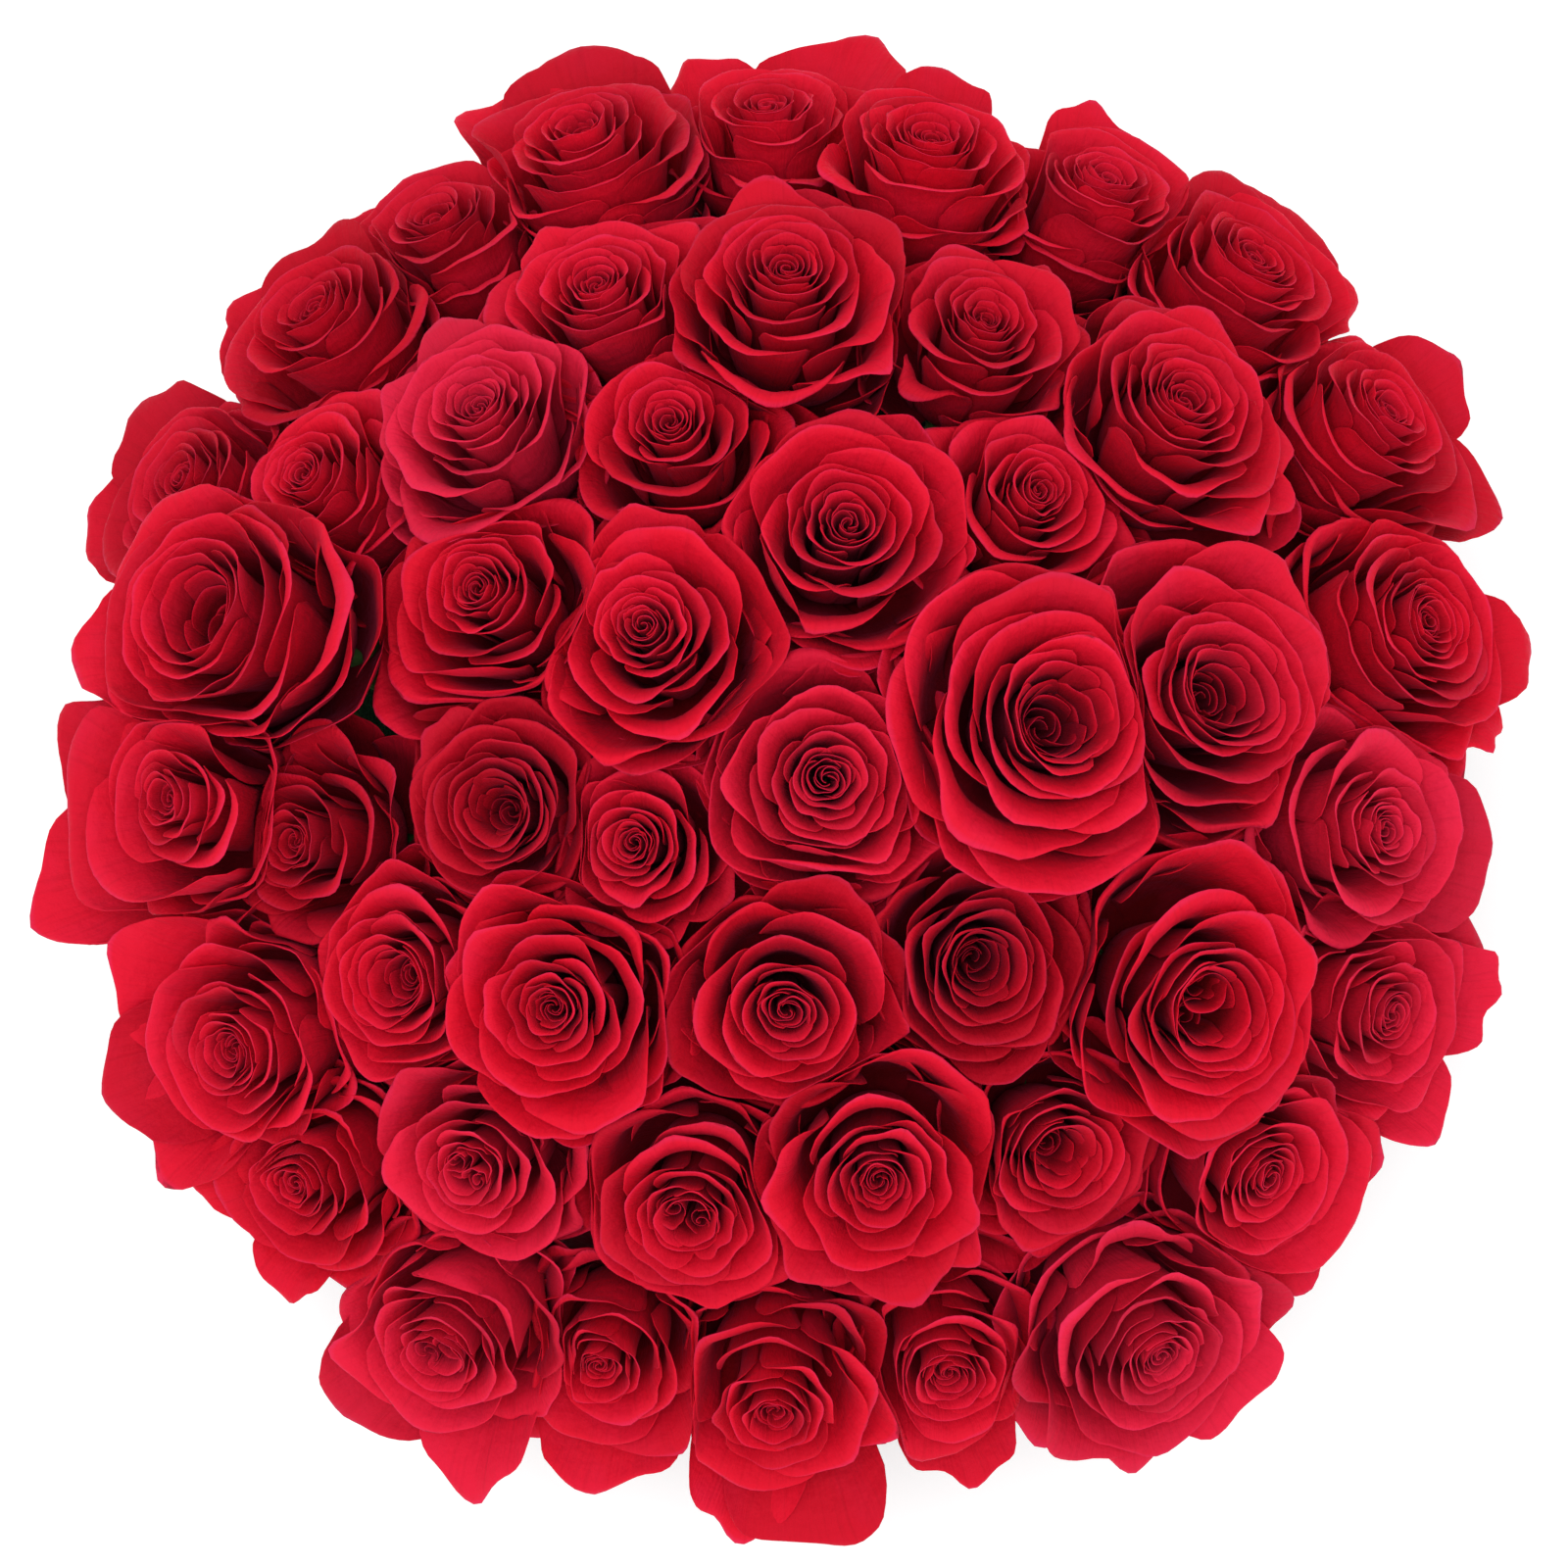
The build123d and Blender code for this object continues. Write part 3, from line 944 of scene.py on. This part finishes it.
def make_rose(rose, material, rim_height, rim_radius):
    """All the petals of one rose, as one mesh that replaces its CAD head."""
    chance = np.random.default_rng(SEED * PETAL_STREAM + rose.number)
    bend = soft_field(chance, BEND * rose.radius / MIDDLE_RADIUS, BEND_WAVELENGTH)
    crinkle = soft_field(chance, CRINKLE, CRINKLE_WAVELENGTH)
    tilt = chance.uniform(-MOST_TILT, MOST_TILT, 2)
    quads = shell_quads(ACROSS + 1, ALONG + 1)
    all_points = []
    all_quads = []
    patterns = {"petal_across": [], "petal_along": [], "petal_tone": [], "petal_shade": []}
    count = 0
    for plan in petal_plans(rose, chance):
        local, u, run = petal_surface(plan)
        local = local + bend(local) * smooth_step(local[..., 2:3], 2.0, 18.0)
        local = local + crinkle(local + CRINKLE_SHIFT * plan["phase"]) * run[..., None]
        local[..., 0] += tilt[0] * local[..., 2]
        local[..., 1] += tilt[1] * local[..., 2]
        world = press_on_neighbours(rose, rose.place(local), plan["lift"], plan["spill"])
        world = clear_the_rim(world, rim_height, rim_radius)
        normal = surface_normals(world)
        thickness = (PETAL_THICKNESS * (1 - RIM_THINNING * run**4))[..., None]
        half = 0.5 * thickness * normal
        both = np.concatenate([world - half, world + half]).reshape(-1, 3)
        all_points.append(both)
        all_quads.append(quads + count)
        patterns["petal_across"].append(np.tile(u.ravel(), 2))
        patterns["petal_along"].append(np.tile(run.ravel(), 2))
        patterns["petal_tone"].append(np.full(len(both), chance.random()))
        # Painted shade: the depth below the petal's own rim, over the length of its face, darkens it.
        below_rim = (1 - run) * rose.height
        patterns["petal_shade"].append(np.tile((below_rim / plan["face"]).ravel(), 2))
        count += len(both)
    piece = new_piece(
        f"petals_{rose.number:02d}",
        np.concatenate(all_points) * MM,
        np.concatenate(all_quads),
        material,
        "arrangement",
    )
    for name, values in patterns.items():
        point_attribute(piece, name, np.concatenate(values))
    # Listed roses get painted light when pale and painted shade when dark; the rest a small random tone
    # of their own.
    pale = PALE_AND_PAINTED_LIGHT.get(rose.name, 0.15 * chance.random())
    dark = DARK_AND_PAINTED_SHADE.get(rose.name, 0.15 * chance.random())
    point_attribute(piece, "petal_pale_and_light", np.full(count, pale))
    point_attribute(piece, "petal_dark_and_shade", np.full(count, dark))
    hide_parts(rose.name)


# ---- what is under the petals -------------------------------------------------------------

# Radius and height of a calyx, in millimetres, from the stem up.
CALYX_PROFILE = [
    (2.9, -12.5),
    (3.3, -11),
    (5.2, -9.2),
    (6.8, -6.6),
    (7.0, -4),
    (6.2, -1.2),
    (5.2, 0.4),
    (3.0, 1.2),
]
CALYX_SIDES = 20
SEPALS = 5
SEPAL_STEPS = (8, 12)
SEPAL_LENGTH = 0.8
SEPAL_THICKNESS = 0.5


def turned_solid(outline, sides):
    """A solid turned about an axis: its points, and its faces with a flat grid at each end."""
    turn = np.linspace(0, 2 * math.pi, sides, endpoint=False)
    radius = np.array([p[0] for p in outline])[:, None]
    height = np.array([p[1] for p in outline])[:, None]
    points = np.stack([radius * np.cos(turn), radius * np.sin(turn), height + 0 * turn], axis=-1)
    ring = np.arange(sides)
    ahead = np.roll(ring, -1)
    band = np.stack([ring, ahead, ahead + sides, ring + sides], axis=-1)
    quads = [band + k * sides for k in range(len(outline) - 1)]
    step = np.arange(sides // 2 - 1)
    cap = np.stack([step, step + 1, sides - 2 - step, sides - 1 - step], axis=-1)
    last = (len(outline) - 1) * sides
    quads += [cap[:, ::-1], cap + last]
    return points.reshape(-1, 3), np.concatenate(quads)


def sepal(length, bearing, droop, twist):
    """One pointed sepal, spread under the petals and bent down at its tip."""
    u = np.linspace(-1, 1, SEPAL_STEPS[0] + 1)[:, None]
    s = np.linspace(0, 1, SEPAL_STEPS[1] + 1)[None, :]
    width = 4.3 * (1 - s) ** 0.75 * (1 + 0.5 * s) + 0.25
    out = 5.6 + length * s * (1 - 0.18 * s)
    height = -1.2 + 5.0 * s - droop * s**2 - 0.12 * (u * width) ** 2
    side = u * width + twist * s**2
    return np.stack(
        [
            out * math.cos(bearing) - side * math.sin(bearing),
            out * math.sin(bearing) + side * math.cos(bearing),
            height + 0 * side,
        ],
        axis=-1,
    )


def make_calyxes(roses, material, rim_height, rim_radius):
    """The green calyx and five sepals under every rose, as one mesh."""
    cup, cup_quads = turned_solid(CALYX_PROFILE, CALYX_SIDES)
    leaf_quads = shell_quads(SEPAL_STEPS[0] + 1, SEPAL_STEPS[1] + 1)
    all_points = []
    all_quads = []
    count = 0
    for rose in roses:
        chance = np.random.default_rng(SEED * SEPAL_STREAM + rose.number)
        pieces = [(cup, cup_quads)]
        start = chance.uniform(0, 2 * math.pi)
        for k in range(SEPALS):
            length = SEPAL_LENGTH * rose.bloom * chance.uniform(0.75, 1.05)
            bearing = start + k * 2 * math.pi / SEPALS + chance.uniform(-0.15, 0.15)
            leaf = sepal(length, bearing, chance.uniform(6, 18), chance.uniform(-2.5, 2.5))
            half = 0.5 * SEPAL_THICKNESS * surface_normals(leaf)
            both = np.concatenate([leaf - half, leaf + half])
            pieces.append((both.reshape(-1, 3), leaf_quads))
        for points, quads in pieces:
            world = rose.place(points)
            if quads is leaf_quads:
                world = clear_the_rim(world, rim_height, rim_radius)
            all_points.append(world)
            all_quads.append(quads + count)
            count += len(world)
    points = np.concatenate(all_points) * MM
    piece = new_piece("calyxes", points, np.concatenate(all_quads), material, "arrangement")
    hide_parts("rose_calyxes")


# ---- the covered box, in millimetres ------------------------------------------------------

COVER_SIDES = 360
PAPER = 0.4
RIM_ROUND = 1.0
FOOT_ROUND = 0.9
SEAM_BEARING = math.radians(100)
SEAM_WIDTH = 15.0
SEAM_STEP = 0.3
TURN_UNDER = 15
SIDE_STEPS = 24
RIM_BAND = 8
EDGE_BAND = 4
STANDING_OFF = 0.16


def rounded_corner(centre, radius, start, end, steps=5):
    """Points of an arc, with its angles in degrees."""
    turn = np.radians(np.linspace(start, end, steps))
    return [(centre[0] + radius * math.cos(a), centre[1] + radius * math.sin(a)) for a in turn]


def cover_outline(radius, top, inner, turn_in, foot):
    """The cover paper's cross-section: from under the base up the side, over the rim, and back."""
    side_heights = np.linspace(foot + EDGE_BAND, top - EDGE_BAND, SIDE_STEPS)
    outer_run = [(radius, z) for z in side_heights]
    outline = [(radius - TURN_UNDER, foot)]
    outline += rounded_corner((radius - FOOT_ROUND, foot + FOOT_ROUND), FOOT_ROUND, -90, 0)
    outline += outer_run
    outline += rounded_corner((radius - RIM_ROUND, top - RIM_ROUND), RIM_ROUND, 0, 90)
    outline += rounded_corner((inner + RIM_ROUND, top - RIM_ROUND), RIM_ROUND, 90, 180)
    outline += [(inner, top - RIM_BAND), (inner, top - turn_in)]
    outline += [(inner + PAPER, top - turn_in), (inner + PAPER, top - RIM_BAND)]
    outline += rounded_corner((inner + RIM_ROUND, top - RIM_ROUND), RIM_ROUND - PAPER, 180, 90)
    outline += rounded_corner((radius - RIM_ROUND, top - RIM_ROUND), RIM_ROUND - PAPER, 90, 0)
    outline += [(radius - PAPER, z) for _, z in reversed(outer_run)]
    outline += rounded_corner((radius - FOOT_ROUND, foot + FOOT_ROUND), FOOT_ROUND - PAPER, 0, -90)
    outline += [(radius - TURN_UNDER, foot + PAPER)]
    return np.array(outline)


def make_cover(material):
    """The cover paper with its lapped seam at the back, as one closed mesh."""
    low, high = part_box("outer_wrap")
    radius = high[0] / MM
    top = high[2] / MM
    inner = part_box("inner_lining")[1][0] / MM
    points = node_points("outer_wrap") / MM
    out = np.linalg.norm(points[:, :2], axis=1)
    turned_in = points[(out < inner + 0.2) & (points[:, 2] > 0.5 * top), 2]
    outline = cover_outline(radius, top, inner, top - turned_in.min(), low[2] / MM)
    turn = np.linspace(0, 2 * math.pi, COVER_SIDES, endpoint=False)
    away = np.abs((turn - SEAM_BEARING + math.pi) % (2 * math.pi) - math.pi) * radius
    lap = SEAM_STEP * (1 - smooth_step(away, 0.5 * SEAM_WIDTH - 1, 0.5 * SEAM_WIDTH + 1))
    outside = smooth_step(outline[:, 0], inner + 1.0, radius - 0.5)
    wobble = 0.1 * np.sin(3 * turn + 1) + 0.06 * np.sin(11 * turn)
    reach = outline[:, 0:1] + outside[:, None] * (lap + wobble + STANDING_OFF)
    height = outline[:, 1:2] + 0 * turn
    mesh_points = np.stack([reach * np.cos(turn), reach * np.sin(turn), height], axis=-1)
    rows = len(outline)
    grid = np.arange(rows * COVER_SIDES).reshape(rows, COVER_SIDES)
    beside = np.roll(grid, -1, axis=1)
    above = np.roll(grid, -1, axis=0)
    quads = np.stack([grid, beside, np.roll(above, -1, axis=1), above], axis=-1).reshape(-1, 4)
    piece = new_piece("cover_paper", mesh_points.reshape(-1, 3) * MM, quads, material, "box")
    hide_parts("outer_wrap")


# ---- the scene ----------------------------------------------------------------------------


def make_floor():
    """A plain white floor."""
    bpy.ops.mesh.primitive_plane_add(size=FLOOR_SIZE)
    floor = bpy.context.object
    floor.name = "floor"
    material, _, _ = new_material(
        "floor_white",
        Roughness=0.9,
        Base_Color=(FLOOR_GREY, FLOOR_GREY, FLOOR_GREY, 1),
        Emission_Color=WHITE,
        Emission_Strength=FLOOR_GLOW,
    )
    floor.data.materials.append(material)


def direction_to_euler(aim):
    """The rotation that turns a lamp or camera to look along a direction, with up kept upright."""
    return Vector(aim).to_track_quat("-Z", "Y").to_euler()


def make_lights():
    """Soft daylight from all round, with one large round lamp above and in front."""
    world = bpy.data.worlds.new("studio")
    world.use_nodes = True
    sky = world.node_tree.nodes["Background"]
    sky.inputs["Color"].default_value = WHITE
    sky.inputs["Strength"].default_value = SKY_STRENGTH
    bpy.context.scene.world = world
    light = bpy.data.lights.new("key", "AREA")
    light.shape = "DISK"
    light.size = KEY_SIZE
    light.energy = KEY_POWER
    lamp = bpy.data.objects.new("key", light)
    bpy.context.collection.objects.link(lamp)
    lamp.location = KEY_PLACE
    lamp.rotation_euler = direction_to_euler(np.array(KEY_TARGET) - np.array(KEY_PLACE))


def make_camera():
    """A long lens, almost straight above."""
    data = bpy.data.cameras.new("camera")
    data.sensor_width = SENSOR
    data.lens = SENSOR * CAMERA_DISTANCE / FRAME_WIDTH
    data.clip_end = 50
    camera = bpy.data.objects.new("camera", data)
    bpy.context.collection.objects.link(camera)
    away = np.array([0, -math.cos(CAMERA_ELEVATION), math.sin(CAMERA_ELEVATION)])
    camera.location = np.array(CAMERA_TARGET) + away * CAMERA_DISTANCE
    camera.rotation_euler = direction_to_euler(-away)
    bpy.context.scene.camera = camera


def make_roses():
    """The whole dome of roses."""
    red = petal_material()
    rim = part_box("outer_wrap")
    rim_height = rim[1][2] / MM
    rim_radius = rim[1][0] / MM
    green = leafy_material("calyx_green", CALYX_DARK, CALYX_LIGHT)
    roses = find_roses()
    for rose in roses:
        make_rose(rose, red, rim_height, rim_radius)
    make_calyxes(roses, green, rim_height, rim_radius)


def dress(node, material):
    """Gives a CAD node a better material."""
    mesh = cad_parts[node].data
    mesh.materials.clear()
    mesh.materials.append(material)


make_roses()
dress("rose_stems", leafy_material("stem_green", STEM_DARK, STEM_LIGHT))
foam = foam_material()
for block in ("foam_dome", "foam_brick_middle", "foam_brick_front", "foam_brick_back"):
    dress(block, foam)
dress("liner_pot", liner_material())
dress("box_wall", board_material())
dress("box_base", board_material())
make_cover(paper_material("wrap_paper", COVER_BLACK, COVER_GREY, 0.8))
dress("base_sheet", paper_material("base_paper", SHEET_BLACK, SHEET_GREY, 0.5))
dress("inner_lining", paper_material("lining_paper", LINING_BLACK, LINING_GREY, 0.3))
make_floor()
make_lights()
make_camera()
scene = bpy.context.scene
scene.view_settings.view_transform = "Standard"
